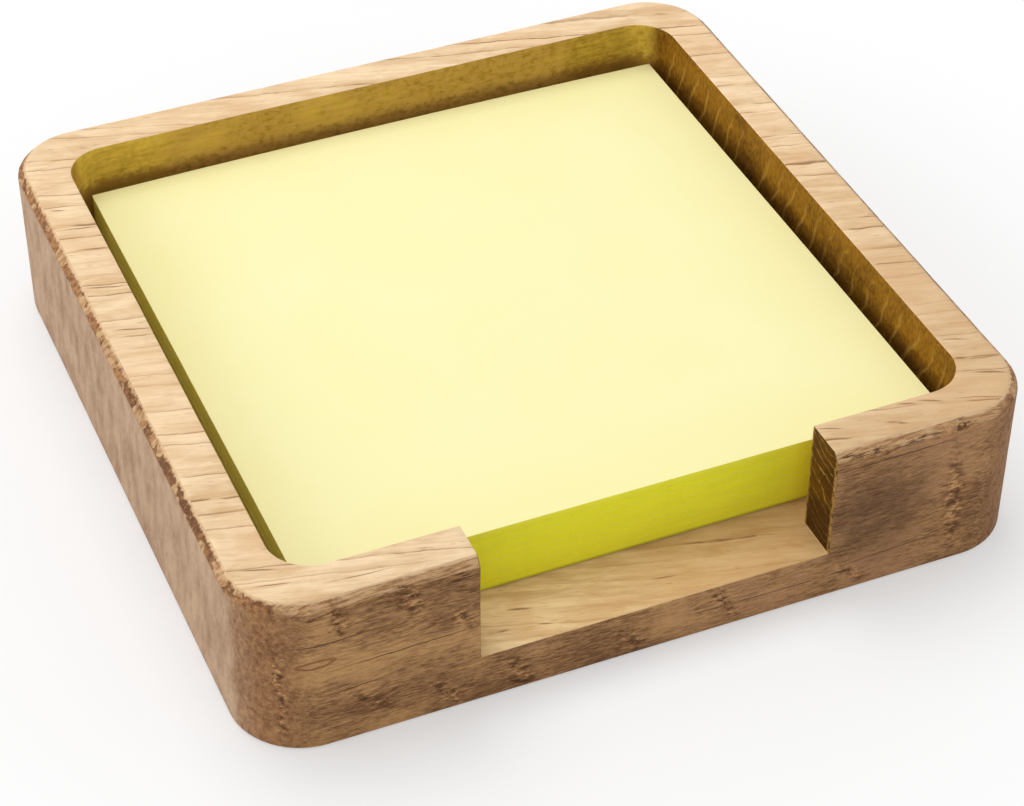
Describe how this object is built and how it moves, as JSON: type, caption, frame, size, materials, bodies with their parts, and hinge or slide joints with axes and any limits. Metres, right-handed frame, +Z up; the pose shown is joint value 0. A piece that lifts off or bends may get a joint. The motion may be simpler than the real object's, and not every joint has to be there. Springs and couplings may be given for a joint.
{
  "type": "memo pad holder",
  "caption": "Square oak desk tray with rounded corners and a front finger notch, holding a pad of adhesive notes that lifts out and whose top sheet peels up.",
  "frame": {"origin": "middle of the tray's underside, where it stands on the desk", "axes": "+X to the right with the finger notch facing the user, +Y away from the user, +Z up"},
  "size_m": [0.0926, 0.0926, 0.0204],
  "materials": {
    "oak": "milled and lightly oiled, open grain",
    "note_paper": "matt",
    "backing_paper": "matt, smooth release side up"
  },
  "bodies": {
    "tray": {"oak_tray": "oak"},
    "memo_pad": {"backing_sheet": "backing_paper", "notes_02_11": "note_paper", "notes_12_21": "note_paper", "notes_22_31": "note_paper", "notes_32_41": "note_paper", "notes_42_51": "note_paper", "notes_52_61": "note_paper", "notes_62_71": "note_paper", "notes_72_81": "note_paper"},
    "peeled_note": {"top_sheet": "note_paper"}
  },
  "joints": [
    {"name": "pad_lift", "type": "slide", "parent": "tray", "child": "memo_pad", "axis": [0, 0, 1], "range_m": [0, 0.03]},
    {"name": "top_sheet_peel", "type": "hinge", "parent": "memo_pad", "child": "peeled_note", "pos_m": [0.00065, 0.03895, 0.0149], "axis": [-1, 0, 0], "range_deg": [0, 70]}
  ]
}
